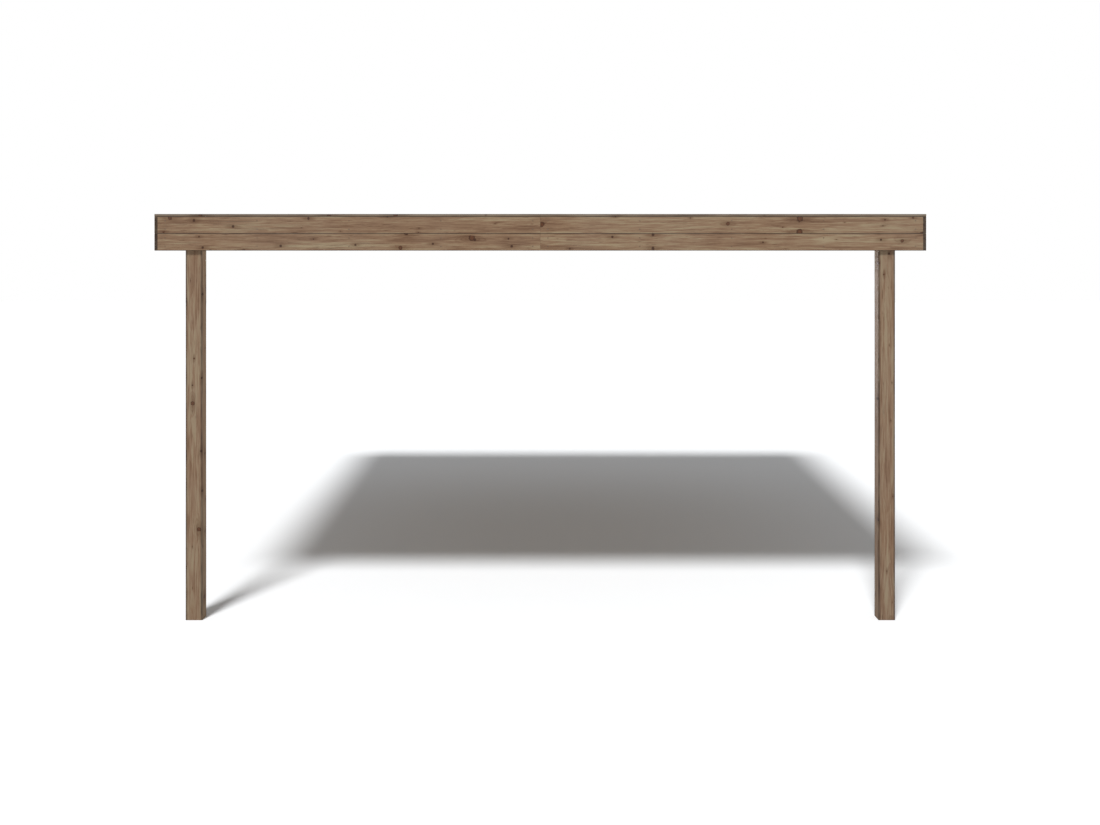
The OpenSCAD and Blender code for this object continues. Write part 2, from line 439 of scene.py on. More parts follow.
SILVER_GREY = tone(150, 146, 140)
MATERIALS = {
    "fascia_wood": timber_material(
        "fascia_wood", tone(113, 84, 62), tone(139, 111, 86), tone(158, 140, 112), 0.34, 0.0038, 0.26, 1.0, 0.4
    ),
    "post_wood": timber_material(
        "post_wood", tone(112, 84, 62), tone(135, 108, 85), tone(151, 133, 108), 0.8, 0.0034, 0.24, 1.1, 0.4
    ),
    "cap_wood": timber_material(
        "cap_wood", tone(92, 75, 60), tone(119, 101, 83), tone(138, 123, 104), 0.25, 0.0030, 0.24, 1.0, 0.75
    ),
    "frame_wood": timber_material(
        "frame_wood", tone(132, 104, 74), tone(163, 137, 104), tone(181, 160, 127), 0.30, 0.0042, 0.30, 0.7, 0.2
    ),
    "deck_boards": timber_material(
        "deck_boards", tone(142, 115, 84), tone(175, 150, 117), tone(192, 173, 141), 0.27, 0.0036, 0.30, 0.7, 0.2
    ),
}
print("timbers:", ", ".join(MATERIALS))

# %% [markdown]
# ## Rubber and steel
# The roofing sheet is black rubber, matt, with dust along its laps and a faint rim where puddles have dried. The
# hangers and plates are hot-dip galvanised: zinc freezes in flat crystals, each of which shines a little
# differently, so a cell pattern drives the brightness and the roughness together. The screws have a brown coat.

# %% Rubber and steel materials


def rubber_material():
    """Matt black rubber, dusty along the laps."""
    material, g, shader = new_material("membrane")
    place = g.add("ShaderNodeTexCoord").outputs["Object"]
    puddle = g.noise(place, 0.6, detail=1.0)
    tide = g.smooth(g.math("SUBTRACT", puddle, 0.56), 0.0, 0.004)
    tide = g.math("MULTIPLY", tide, g.smooth(puddle, 0.56, 0.6, 1.0, 0.15))
    grit = g.noise(place, 420.0, detail=2.0)
    base = g.mix(g.smooth(grit, 0.35, 0.75), tone(46, 47, 50), tone(60, 61, 63))
    base = g.mix(g.math("MULTIPLY", tide, 0.09), base, tone(126, 121, 112))
    base = g.mix(g.math("MULTIPLY", g.attribute("arris"), 0.4), base, tone(110, 107, 101))
    color, rough = weathered(g, base, 0.55, tone(104, 102, 98), 0.22, 0.05, 0.5)
    finish_surface(g, shader, color, rough, grit, 0.0004, 0.5)
    shader.inputs["Specular IOR Level"].default_value = 0.4
    return material


def steel_material(name, dull, bright, crystal, metal):
    """Steel in crystals of two tones. metal is 1 for bare zinc and less for a coat of colour."""
    material, g, shader = new_material(name)
    place = g.add("ShaderNodeTexCoord").outputs["Object"]
    cells = g.add("ShaderNodeTexVoronoi", {"Vector": place, "Scale": 1 / crystal})
    shine = g.split(cells.outputs["Color"])[0]
    smear = g.noise(place, 35.0, detail=4.0)
    base = g.mix(shine, dull, bright)
    base = g.mix(g.smooth(smear, 0.4, 0.75, 0.0, 0.4), base, tone(118, 120, 120))
    rough = g.math("MULTIPLY_ADD", shine, 0.16, 0.34)
    color, rough = weathered(g, base, rough, tone(150, 152, 152), 0.5, 0.25, 0.05)
    finish_surface(g, shader, color, rough, smear, 0.0003, 0.4)
    shader.inputs["Metallic"].default_value = metal
    return material


MATERIALS["membrane"] = rubber_material()
MATERIALS["galvanised"] = steel_material("galvanised", tone(150, 154, 156), tone(196, 199, 200), 0.009, 1.0)
MATERIALS["browned_steel"] = steel_material("browned_steel", tone(96, 74, 54), tone(122, 98, 74), 0.004, 0.2)
print("materials:", len(MATERIALS))

# %% [markdown]
# ## From arrays to a mesh
# Every piece is worked out as whole arrays of points and quads first. A `Part` keeps those arrays and the values
# that the shaders read: the place in the trunk, the board's own random number, how close a point is to an eased
# edge, and whether a face is end grain. Parts are added up, so a hundred screws become one mesh.

# %% Mesh helper


def grid_faces(rows, columns, wrap):
    """Quads of a grid whose point (r, c) is number r * columns + c. wrap joins the last column to the first."""
    r, c = np.meshgrid(np.arange(rows - 1), np.arange(columns if wrap else columns - 1), indexing="ij")
    after = (c + 1) % columns
    quads = np.stack([r * columns + c, r * columns + after, (r + 1) * columns + after, (r + 1) * columns + c], -1)
    return quads.reshape(-1, 4)


def part(points, quads, polygons=(), trunk=None, board=0.5, arris=0.0, ends=()):
    """Arrays of one piece. polygons are further faces, each a list of point numbers; ends are their numbers."""
    points = np.asarray(points, float).reshape(-1, 3)
    count = len(points)
    end = np.zeros(len(quads) + len(polygons))
    end[len(quads) + np.array(ends, int)] = 1.0
    return {
        "points": points,
        "faces": [list(q) for q in np.asarray(quads).tolist()] + [list(p) for p in polygons],
        "trunk": points if trunk is None else np.asarray(trunk, float).reshape(-1, 3),
        "board": np.full(count, board),
        "arris": np.broadcast_to(np.asarray(arris, float), (count,)),
        "end": end,
    }


def add_parts(parts):
    """One set of arrays from several, with the point numbers moved on."""
    starts = np.cumsum([0] + [len(p["points"]) for p in parts[:-1]])
    faces = [[n + start for n in face] for p, start in zip(parts, starts.tolist()) for face in p["faces"]]
    stacked = {key: np.concatenate([p[key] for p in parts]) for key in parts[0] if key != "faces"}
    return {**stacked, "faces": faces}


def make_piece(name, parts, material, replaced=(), crease=40.0):
    """Puts the arrays into a mesh object, gives it its finish and lets it ride on the frame."""
    whole = add_parts(parts)
    mesh = bpy.data.meshes.new(name)
    mesh.from_pydata(whole["points"].tolist(), [], whole["faces"])
    for key, domain in (("board", "POINT"), ("arris", "POINT"), ("end", "FACE")):
        mesh.attributes.new(key, "FLOAT", domain).data.foreach_set("value", whole[key].astype(np.float32))
    trunk = mesh.attributes.new("trunk", "FLOAT_VECTOR", "POINT")
    trunk.data.foreach_set("vector", whole["trunk"].astype(np.float32).ravel())
    mesh.polygons.foreach_set("use_smooth", np.ones(len(mesh.polygons), bool))
    mesh.set_sharp_from_angle(angle=math.radians(crease))
    mesh.materials.append(MATERIALS[material])
    piece = bpy.data.objects.new(name, mesh)
    scene.collection.objects.link(piece)
    weighted = piece.modifiers.new("flat_faces_stay_flat", "WEIGHTED_NORMAL")
    weighted.keep_sharp = True
    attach(piece, "root")
    if replaced:
        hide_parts(*replaced)
    return piece


# %% [markdown]
# ## A planed bar
# Nearly every piece of this cover is a straight length of planed timber. Its section is a rectangle with eased
# corners, and its ends are eased as well. A Bevel modifier on a cube would do it, but then the shader could not
# tell an edge from a face. As a surface of two parameters, one round the section and one along the bar, the
# same formula that places a point also says how deep it lies in an edge.

# %% The bar as a surface
CORNER_STEPS = 4
END_STEPS = 3
PITH_DEPTH = (0.03, 0.09)
AXES = "XYZ"


def bar_section(half_u, half_v, arris, reach):
    """Section of a bar: four corner arcs of radius arris, with a point on the flat before and after each.

    A point is a centre plus arris times (cos t, sin t), where t turns through the four quarters. For the points
    on the flats the corner's centre is moved along the tangent by reach. Returns the centres, the directions
    and the painted edge shade, which is 1 on the arcs and has faded to 0 at the points on the flats.
    """
    step = np.linspace(0, math.pi / 2, CORNER_STEPS + 1)
    step = np.concatenate([step[:1], step, step[-1:]])
    slide = np.zeros(len(step))
    slide[[0, -1]] = (-reach, reach)
    quarter = np.arange(4)[:, None] * math.pi / 2
    turn = (quarter + step).ravel()
    middle = (quarter + math.pi / 4 + 0 * step).ravel()
    tangents = np.stack([-np.sin(turn), np.cos(turn)], 1)
    corners = np.sign(np.stack([np.cos(middle), np.sin(middle)], 1)) * (half_u - arris, half_v - arris)
    centres = corners + tangents * np.tile(slide, 4)[:, None]
    directions = np.stack([np.cos(turn), np.sin(turn)], 1)
    return centres, directions, np.tile(slide == 0, 4).astype(float)


def end_stations(length, ease):
    """Places along a bar and how far the section draws in there: a quarter circle of radius ease at each end."""
    bend = np.linspace(0, math.pi / 2, END_STEPS + 1)
    place = ease * (1 - np.cos(bend))
    inset = ease * (1 - np.sin(bend))
    return np.concatenate([place, length - place[::-1]]), np.concatenate([inset, inset[::-1]])


def bar(low, high, face="-Y", arris=0.0025, ease=0.0012, reach=0.001, grain_along=None):
    """A planed bar that fills the box from low to high. face is the side that looks away from the pith.

    reach is how far the painted shade of an edge spreads over the flats, and ease is the radius at both ends.
    """
    low, high = np.asarray(low, float), np.asarray(high, float)
    size = high - low
    deep = AXES.index(face[1])
    outward = 1.0 if face[0] == "+" else -1.0
    rest = [axis for axis in range(3) if axis != deep]
    run = max(rest, key=lambda axis: size[axis]) if grain_along is None else AXES.index(grain_along)
    wide = next(axis for axis in rest if axis != run)
    centres, directions, shaded_edge = bar_section(size[wide] / 2, size[deep] / 2, arris, reach)
    stations, inset = end_stations(size[run], ease)
    section = centres[None] + directions[None] * (arris - inset)[:, None, None]
    points = np.empty((len(stations), len(shaded_edge), 3))
    middle = (low + high) / 2
    points[..., wide] = middle[wide] + section[..., 0]
    points[..., deep] = middle[deep] + section[..., 1]
    points[..., run] = low[run] + stations[:, None]

    # Faces look outwards when the three axes are right-handed, and are turned round when they aren't.
    quads = grid_faces(len(stations), len(shaded_edge), wrap=True)
    ring = np.arange(len(shaded_edge))
    caps = [ring[::-1], ring + (len(stations) - 1) * len(shaded_edge)]
    if (wide, deep, run) not in ((0, 1, 2), (1, 2, 0), (2, 0, 1)):
        quads = quads[:, ::-1]
        caps = [cap[::-1] for cap in caps]
    hidden = low[deep] if outward > 0 else high[deep]
    trunk = np.empty_like(points)
    trunk[..., 0] = points[..., run] + rng.uniform(0, 40)
    trunk[..., 1] = points[..., wide] - middle[wide] + rng.uniform(-0.35, 0.35) * size[wide]
    trunk[..., 2] = outward * (points[..., deep] - hidden) + rng.uniform(*PITH_DEPTH)
    # Painted shade: this edge value darkens the eased edges and the eased ends in the timber shader.
    edge = np.maximum(shaded_edge[None], (inset / ease)[:, None])
    return part(points, quads, caps, trunk, rng.uniform(), edge.ravel(), ends=(0, 1))


test_bar = bar((0, 0, 0), (1, 0.1, 0.02))
print("one bar:", len(test_bar["points"]), "points,", len(test_bar["faces"]), "faces")

# %% [markdown]
# ## Posts, beam, rafters and noggings
# A bar for each CAD node, with the eased edge that its kind has: posts are rounded to 5 mm, framing timber to
# 2 mm. The face argument turns the bark side of the trunk towards the side that people see. The front beam is
# glued from three layers, and thin eased edges between them leave the glue lines visible.

# %% Frame timbers
POST_ARRIS = 0.005
# How far the painted shade on a post's eased edges spreads over its faces.
POST_SHADE_REACH = 0.006
FRAME_ARRIS = 0.002
BEAM_LAYERS = 3


def timber_piece(node, face, material, **shape):
    """Replaces a CAD node by a planed bar of the same size."""
    return make_piece(node + "_timber", [bar(*BOX[node], face=face, **shape)], material, [node])


for node in ("post_left", "post_right"):
    timber_piece(node, "-Y", "post_wood", arris=POST_ARRIS, ease=0.002, reach=POST_SHADE_REACH, grain_along="Z")

beam_low, beam_high = BOX["front_beam"]
levels = np.linspace(beam_low[2], beam_high[2], BEAM_LAYERS + 1)
layers = []
for bottom, top in zip(levels[:-1], levels[1:]):
    corner_low = (beam_low[0], beam_low[1], bottom)
    corner_high = (beam_high[0], beam_high[1], top)
    layers.append(bar(corner_low, corner_high, face="+Y", arris=0.0006, ease=0.0006))
make_piece("front_beam_timber", layers, "frame_wood", ["front_beam"])

for node in NODES:
    if node.startswith("rafter"):
        timber_piece(node, "-X" if BOX[node][0][0] > 0 else "+X", "frame_wood", arris=FRAME_ARRIS)
    if node.startswith("nogging"):
        timber_piece(node, "-Y", "frame_wood", arris=FRAME_ARRIS, grain_along="X")
for node in ("kerb_front", "kerb_left", "kerb_right", "kerb_wall"):
    timber_piece(node, "+Z", "frame_wood", arris=FRAME_ARRIS)

# %% [markdown]
# ## The ledger and its bolt holes
# The ledger is a bar as well, with a pair of bolt holes in every other bay. A hole is a real cut, so that light
# and the bolt can pass, and a Boolean modifier makes it: the cutters are plain cylinders, removed afterwards.
# The points that a cut adds know nothing of the trunk. But a place in the trunk is a linear function of the place
# in space, so the function is fitted on the uncut bar and worked out again for every point.

# %% Ledger
HOLE_SIDES = 24


def cylinder_mesh(name, centre, radius, length, axis="Y"):
    """A closed cylinder: points turn about the Y axis at both ends. The axis argument is not used."""
    turn = np.linspace(0, 2 * math.pi, HOLE_SIDES, endpoint=False)
    circle = np.stack([np.cos(turn), np.zeros_like(turn), -np.sin(turn)], 1) * radius
    reach = np.array([0, length / 2, 0])
    points = np.concatenate([circle - reach, circle + reach]) + centre
    ring = np.arange(HOLE_SIDES)
    faces = grid_faces(2, HOLE_SIDES, wrap=True).tolist() + [ring[::-1].tolist(), (ring + HOLE_SIDES).tolist()]
    mesh = bpy.data.meshes.new(name)
    mesh.from_pydata(points.tolist(), [], faces)
    return mesh


def cut_holes(piece, meshes):
    """Cuts the closed meshes out of a piece and keeps the result as its mesh."""
    for number, mesh in enumerate(meshes):
        cutter = bpy.data.objects.new(f"cutter_{number}", mesh)
        scene.collection.objects.link(cutter)
        cut = piece.modifiers.new(f"hole_{number}", "BOOLEAN")
        cut.operation = "DIFFERENCE"
        cut.solver = "EXACT"
        cut.object = cutter
    bpy.context.view_layer.update()
    result = bpy.data.meshes.new_from_object(piece.evaluated_get(bpy.context.evaluated_depsgraph_get()))
    for modifier in list(piece.modifiers):
        if modifier.type == "BOOLEAN":
            bpy.data.objects.remove(modifier.object)
            piece.modifiers.remove(modifier)
    piece.data = result


def restore_trunk(piece, uncut):
    """Writes the place in the trunk and the board's number again, as they are on the uncut bar."""
    known = np.column_stack([uncut["points"], np.ones(len(uncut["points"]))])
    rule = np.linalg.lstsq(known, uncut["trunk"], rcond=None)[0]
    mesh = piece.data
    points = np.empty(len(mesh.vertices) * 3)
    mesh.vertices.foreach_get("co", points)
    trunk = np.column_stack([points.reshape(-1, 3), np.ones(len(mesh.vertices))]) @ rule
    number = np.full(len(mesh.vertices), uncut["board"][0], np.float32)
    mesh.attributes["trunk"].data.foreach_set("vector", trunk.astype(np.float32).ravel())
    mesh.attributes["board"].data.foreach_set("value", number)


bolt_mounts = [m for m in frame["record"]["mounts"] if m["kind"] == "bolt_pattern"]
ledger_bar = bar(*BOX["wall_ledger"], face="-Y", arris=FRAME_ARRIS)
ledger = make_piece("wall_ledger_timber", [ledger_bar], "frame_wood", ["wall_ledger"])
ledger_low, ledger_high = BOX["wall_ledger"]
ledger_middle = (ledger_low + ledger_high) / 2
hole_meshes = []
for mount in bolt_mounts:
    for side in (-0.5, 0.5):
        rise = side * mount["dims"]["spacing_y_mm"] / 1000
        centre = (mount["pos_m"][0], ledger_middle[1], mount["pos_m"][2] + rise)
        hole_meshes.append(cylinder_mesh("bolt_hole", centre, mount["dims"]["hole_r_mm"] / 1000, 0.1))
cut_holes(ledger, hole_meshes)
restore_trunk(ledger, ledger_bar)
print("ledger:", len(hole_meshes), "holes,", len(ledger.data.polygons), "faces")

# %% [markdown]
# ## Roof boards
# Under the membrane lie tongued and grooved boards, nailed across the rafters. From below each joint is a small
# V where the two eased edges meet. A course is made of two lengths, and the end joints jump from rafter to
# rafter so that no two neighbours are joined in the same place.

# %% Roof boards
BOARD_COVER = 0.095
BOARD_GAP = 0.0004
JOINT_PATTERN = (3, 5, 2, 4, 6, 3, 5, 4)

deck_low, deck_high = BOX["roof_deck"]
courses = round((deck_high[1] - deck_low[1]) / BOARD_COVER)
course_edges = np.linspace(deck_low[1], deck_high[1], courses + 1)
roof_boards = []
for course, (front, back) in enumerate(zip(course_edges[:-1], course_edges[1:])):
    rafter = BOX[f"rafter_{JOINT_PATTERN[course % len(JOINT_PATTERN)]}"]
    joint = (rafter[0][0] + rafter[1][0]) / 2
    for left, right in ((deck_low[0], joint), (joint, deck_high[0])):
        corner_low = (left, front + (BOARD_GAP if course else 0.0), deck_low[2])
        corner_high = (right, back, deck_high[2])
        roof_boards.append(bar(corner_low, corner_high, face="-Z", arris=0.0022, grain_along="X"))
make_piece("roof_boards", roof_boards, "deck_boards", ["roof_deck"])
print("roof:", courses, "courses,", len(roof_boards), "boards")

# %% [markdown]
# ## Fascia and capping
# Two boards one above the other close the edge on three sides, each side in two lengths that butt in the middle.
# At the corners the side boards run past the front ones and show their dark end grain. Their edges are eased
# a little, so a V-shaped shadow line marks the seam. The capping strip lies flat on top and has weathered most.
# The outer faces lie a hair inside the CAD faces, and that hair is the room for the screw heads.

# %% Fascia and capping
FASCIA_ARRIS = 0.0025
CAP_ARRIS = 0.0025
HEAD_ROOM = 0.0004
OUTSIDE = {"front": "-Y", "left": "-X", "right": "+X"}


def set_back(node, face):
    """The box of a CAD node whose outer face is moved in by the height of a screw head."""
    low, high = (corner.copy() for corner in BOX[node])
    axis = AXES.index(face[1])
    if face[0] == "+":
        high[axis] -= HEAD_ROOM
    else:
        low[axis] += HEAD_ROOM
    return low, high


for node in NODES:
    words = node.split("_")
    if words[0] == "fascia":
        face = OUTSIDE[words[1]]
        board = bar(*set_back(node, face), face=face, arris=FASCIA_ARRIS, ease=0.0008)
        make_piece(node + "_timber", [board], "fascia_wood", [node])
    if words[0] == "cap":
        strip = bar(*set_back(node, "+Z"), face="+Z", arris=CAP_ARRIS, ease=0.0008)
        make_piece(node + "_timber", [strip], "cap_wood", [node])
print("fascia and capping:", sum(node.startswith(("fascia", "cap")) for node in NODES), "boards")

# %% [markdown]
# ## The membrane
# One rubber sheet covers the boards and turns up behind the kerbs, with a small cove in the angle because rubber
# can't be folded sharply. It is a height over a grid: the distance to the nearest kerb gives the upstand and
# the cove, two taped laps run from front to back, and a slow ripple keeps the large face from being dead flat.
# The grid is fine near the edges and coarse in the middle. A Solidify modifier gives the sheet its thickness.

# %% Membrane
SHEET = 0.0015
COVE = 0.009
LAP_WIDTH = 0.075
LAP_RISE = 0.0011
DUST_REACH = 0.012
EDGE_LINES = np.array([0.0, 0.0006, 0.0016, 0.003, 0.005, 0.007, 0.0096, 0.02])


def spaced_lines(low, high, step, extra=()):
    """Grid lines from low to high: close together at both edges and at extra places, else about step apart."""
    inner = np.linspace(low + 0.05, high - 0.05, round((high - low) / step))
    lines = np.concatenate([low + EDGE_LINES, inner, np.ravel(extra), high - EDGE_LINES])
    return np.unique(np.round(lines, 5))


def sheet_height(x, y, low, high, laps):
    """Height of the rubber: upstand and cove by the distance to the nearest kerb, plus laps and a ripple."""
    away = np.minimum(np.minimum(x - low[0], high[0] - x), np.minimum(y - low[1], high[1] - y))
    inside = np.clip(COVE - (away - EDGE_LINES[1]), 0, COVE)
    cove = COVE - np.sqrt(np.maximum(COVE**2 - inside**2, 0))
    upstand = high[2] - low[2] - SHEET
    wall = np.where(away < EDGE_LINES[1] / 2, upstand, np.minimum(cove, upstand))
    floor = np.clip(away / 0.05, 0, 1)
    over = np.abs(x[..., None] - laps) < LAP_WIDTH / 2
    ripple = 0.5 + 0.25 * (np.sin(2.1 * x + 1.3 * np.sin(1.7 * y)) + np.sin(2.6 * y + 0.8 * x))
    return low[2] + SHEET + np.maximum(wall, floor * (LAP_RISE * over.any(-1) + 0.0009 * ripple))


def membrane_part():
    low, high = BOX["roof_membrane"]
    laps = low[0] + (high[0] - low[0]) * np.array([1, 2]) / 3
    lap_edges = np.concatenate([laps - LAP_WIDTH / 2, laps + LAP_WIDTH / 2])
    sharp = (lap_edges[:, None] + np.array([-DUST_REACH, -0.0009, 0.0009, DUST_REACH])).ravel()
    lines_x = spaced_lines(low[0], high[0], 0.09, sharp)
    lines_y = spaced_lines(low[1], high[1], 0.09)
    y, x = np.meshgrid(lines_y, lines_x, indexing="ij")
    inset_x = np.clip(x, low[0] + SHEET, high[0] - SHEET)
    inset_y = np.clip(y, low[1] + SHEET, high[1] - SHEET)
    points = np.stack([inset_x, inset_y, sheet_height(x, y, low, high, laps)], -1)
    dusty = np.abs(x[..., None] - lap_edges).min(-1) < 0.5 * DUST_REACH
    return part(points, grid_faces(len(lines_y), len(lines_x), wrap=False), arris=dusty.astype(float).ravel())


sheet = make_piece("roofing_sheet", [membrane_part()], "membrane", ["roof_membrane"], crease=60.0)
thick = sheet.modifiers.new("sheet_thickness", "SOLIDIFY")
thick.thickness = SHEET
thick.offset = -1.0
print("membrane:", len(sheet.data.polygons), "faces")

# %% [markdown]
# ## Folded steel
# Joist hangers, corner brackets and nail plates are strips of sheet steel with a few bends. Such a piece is a
# flat path with a thickness, drawn out along a third direction: the path is moved half the thickness to each
# side along its own normals, which are averaged at the bends so that the thickness stays even.

# %% Folded sheet steel
STEEL = 0.002
BEND = 0.004


def soften(path, radius, steps=3):
    """Replaces each inner corner of a path by an arc-like curve: a quadratic curve through two points near it."""
    path = np.asarray(path, float)
    rounded = [path[:1]]
    share = np.linspace(0, 1, steps + 1)[:, None]
    for before, corner, after in zip(path[:-2], path[1:-1], path[2:]):
        start = corner + (before - corner) * radius / np.linalg.norm(before - corner)
        end = corner + (after - corner) * radius / np.linalg.norm(after - corner)
        rounded.append((1 - share) ** 2 * start + 2 * share * (1 - share) * corner + share**2 * end)
    return np.concatenate(rounded + [path[-1:]])


def folded(path, axes, reach, thickness=STEEL, bend=BEND):
    """A folded strip: the path lies in the plane of two axes, and the strip spans reach on the third.

    The outline is the path plus and minus half the thickness along its normals.
    """
    path = soften(path, bend)
    step = np.diff(path, axis=0)
    step /= np.linalg.norm(step, axis=1)[:, None]
    along = np.concatenate([step[:1], step[:-1] + step[1:], step[-1:]])
    along /= np.linalg.norm(along, axis=1)[:, None]
    normal = np.stack([-along[:, 1], along[:, 0]], 1)
    turn = np.ones(len(path))
    turn[1:-1] = 1 / np.maximum((normal[1:-1] * np.stack([-step[:-1, 1], step[:-1, 0]], 1)).sum(1), 0.5)
    offset = normal * (turn * thickness / 2)[:, None]
    outline = np.concatenate([path + offset, (path - offset)[::-1]])
    third = 3 - sum(axes)
    points = np.empty((2, len(outline), 3))
    points[..., axes[0]] = outline[:, 0]
    points[..., axes[1]] = outline[:, 1]
    points[..., third] = np.asarray(reach)[:, None]
    count = len(outline)
    quads = grid_faces(2, count, wrap=True)
    half = len(path)
    face = np.arange(half - 1)
    strip = np.stack([face, face + 1, count - 2 - face, count - 1 - face], -1)
    caps = np.concatenate([strip[:, ::-1], strip + count])
    quads = np.concatenate([quads, caps])
    signed = np.sum(outline[:, 0] * np.roll(outline[:, 1], -1) - np.roll(outline[:, 0], -1) * outline[:, 1])
    right_handed = (axes[0], axes[1], third) in ((0, 1, 2), (1, 2, 0), (2, 0, 1))
    if (signed > 0) != right_handed:
        quads = quads[:, ::-1]
    return part(points, quads)


# %% [markdown]
# ## Screw and nail heads
# A head is a surface of revolution: its radius and height run along a short profile while it turns about the
# axis. The screws' recess has six lobes, which is one more term in the radius. Every head of one kind is the
# same small array, moved to all its places at once.

# %% Fastener heads
HEAD_TURNS = 18


def head_shape(radius, height, recess):
    """Points (ring, turn) of a head that looks along +Z: a low dome, with a six-lobed recess if asked."""
    turn = np.linspace(0, 2 * math.pi, HEAD_TURNS, endpoint=False)[None, :]
    if recess:
        reach = np.array([1.0, 1.0, 0.86, 0.46, 0.44])[:, None] * radius
        rise = np.array([-0.6, 0.55, 1.0, 1.0, -0.4])[:, None] * height
        lobes = np.array([0, 0, 0, 0.16, 0.16])[:, None] * radius
    else:
        reach = np.array([1.0, 1.0, 0.8, 0.35])[:, None] * radius
        rise = np.array([-0.6, 0.35, 0.8, 1.0])[:, None] * height
        lobes = np.zeros((4, 1))
    out = reach + lobes * np.cos(6 * turn)
    return np.stack([out * np.cos(turn), out * np.sin(turn), np.broadcast_to(rise, out.shape)], -1)


def heads(places, normal, radius, height, recess=False):
    """A part that holds the same head at every place, looking along the normal, an axis such as (0, -1, 0)."""
    places = np.asarray(places, float).reshape(-1, 3)
    shape = head_shape(radius, height, recess)
    normal = np.asarray(normal, float)
    side = np.roll(normal, 1)
    other = np.cross(normal, side)
    turned = shape[..., :1] * side + shape[..., 1:2] * other + shape[..., 2:] * normal
    rings = shape.shape[0]
    count = rings * HEAD_TURNS
    points = places[:, None, None, :] + turned[None]
    quads = grid_faces(rings, HEAD_TURNS, wrap=True)
    top = np.arange(HEAD_TURNS) + (rings - 1) * HEAD_TURNS
    bottom = np.arange(HEAD_TURNS)[::-1]
    starts = np.arange(len(places)) * count
    all_quads = (quads[None] + starts[:, None, None]).reshape(-1, 4)
    caps = [cap for start in starts.tolist() for cap in ((top + start).tolist(), (bottom + start).tolist())]
    return part(points, all_quads, caps)


sample = heads([(0, 0, 0)], (0, 0, 1), 0.004, 0.0005, recess=True)
print("one screw head:", len(sample["faces"]), "faces")

# %% [markdown]
# ## Screws in the fascia and the capping
# Each board has two screws wherever there is timber behind it, and a capping strip has one row over the kerb.
# They are browned so that they hardly show, and their heads reach just up to the CAD face.

# %% Screws
SCREW_RADIUS = 0.0036
SCREW_EDGE = 0.026
SCREW_END = 0.045
SCREW_STEP = 0.62
KERB = BOX["kerb_wall"][1][1] - BOX["kerb_wall"][0][1]


def screw_line(start, end):
    """Places between two ends: one near each end and the others evenly, about SCREW_STEP apart."""
    count = max(2, round((end - start - 2 * SCREW_END) / SCREW_STEP) + 1)
    return np.linspace(start + SCREW_END, end - SCREW_END, count)


def screw_grid(node, face, across):
    """Screw heads in one board: its line of places along it, at each distance across it."""
    low, high = BOX[node]
    deep = AXES.index(face[1])
    rest = [axis for axis in range(3) if axis != deep]
    run = max(rest, key=lambda axis: high[axis] - low[axis])
    wide = next(axis for axis in rest if axis != run)
    line, level = np.meshgrid(screw_line(low[run], high[run]), across)
    places = np.empty((line.size, 3))
    outward = 1.0 if face[0] == "+" else -1.0
    places[:, deep] = (high[deep] if outward > 0 else low[deep]) - outward * HEAD_ROOM
    places[:, run] = line.ravel()
    places[:, wide] = level.ravel()
    normal = np.zeros(3)
    normal[deep] = outward
    return heads(places, normal, SCREW_RADIUS, HEAD_ROOM * 0.9, recess=True)


def kerb_line(node):
    """Where the middle of the kerb lies across a capping strip."""
    if "wall" in node:
        return BOX["kerb_wall"][1][1] - KERB / 2
    if "front" in node.split("_")[1]:
        return BOX["kerb_front"][0][1] + KERB / 2
    kerb = BOX["kerb_" + node.split("_")[1]]
    return (kerb[0][0] + kerb[1][0]) / 2


screws = []
for node in NODES:
    low, high = BOX[node]
    if node.startswith("fascia"):
        rows = (low[2] + SCREW_EDGE, high[2] - SCREW_EDGE)
        screws.append(screw_grid(node, OUTSIDE[node.split("_")[1]], rows))
    if node.startswith("cap"):
        screws.append(screw_grid(node, "+Z", (kerb_line(node),)))
make_piece("board_screws", screws, "browned_steel", crease=30.0)
print("screws:", sum(len(s["points"]) for s in screws) // (5 * HEAD_TURNS))

# %% [markdown]
# ## Hangers, brackets and nail plates
# A rafter hangs in a steel shoe at each end: a stirrup passes under it, and two wings are nailed to the beam or
# the ledger. The edge rafters have no room for a shoe, so an angle bracket holds their inner side. On the back
# of each post a nail plate ties the beam down, where nobody in the garden sees it.

# %% Steelwork
HANGER_DEPTH = 0.075
HANGER_TOP = 0.035
WING = 0.036
WING_LEG = 0.007
NAIL_RADIUS = 0.0034
NAIL_HEIGHT = 0.0012
HALF = STEEL / 2


def nails(places, normal):
    return heads(places, normal, NAIL_RADIUS, NAIL_HEIGHT)


def grid_places(first, second, third):
    """Every combination of three lists of coordinates."""
    return np.stack(np.meshgrid(first, second, third, indexing="ij"), -1).reshape(-1, 3)


def hanger(rafter, header, inward):
    """A shoe at one end of a rafter. header is the y of the face that it hangs on, and inward is +1 or -1."""
    (left, _, bottom), (right, _, _) = BOX[rafter]
    sides = ((left - HALF, -1), (right + HALF, 1))
    stirrup = [
        (left - HALF, HANGER_TOP),
        (left - HALF, bottom - HALF),
        (right + HALF, bottom - HALF),
        (right + HALF, HANGER_TOP),
    ]
    reach = (header + inward * WING_LEG, header + inward * HANGER_DEPTH)
    made = [folded(stirrup, (0, 2), sorted(reach))]
    levels = np.linspace(bottom + 0.018, HANGER_TOP - 0.014, 3)
    for x, side in sides:
        leg = (x, header + inward * WING_LEG)
        corner = (x, header + inward * HALF)
        tip = (x + side * WING, header + inward * HALF)
        made.append(folded([leg, corner, tip], (0, 1), (bottom + 0.004, HANGER_TOP), bend=0.003))
        on_wing = grid_places([x + side * 0.023], [header + inward * STEEL], levels)
        made.append(nails(on_wing, (0, inward, 0)))
        on_side = grid_places([x + side * HALF], header + inward * np.array([0.03, 0.056]), levels[1:])
        made.append(nails(on_side, (side, 0, 0)))
    return made


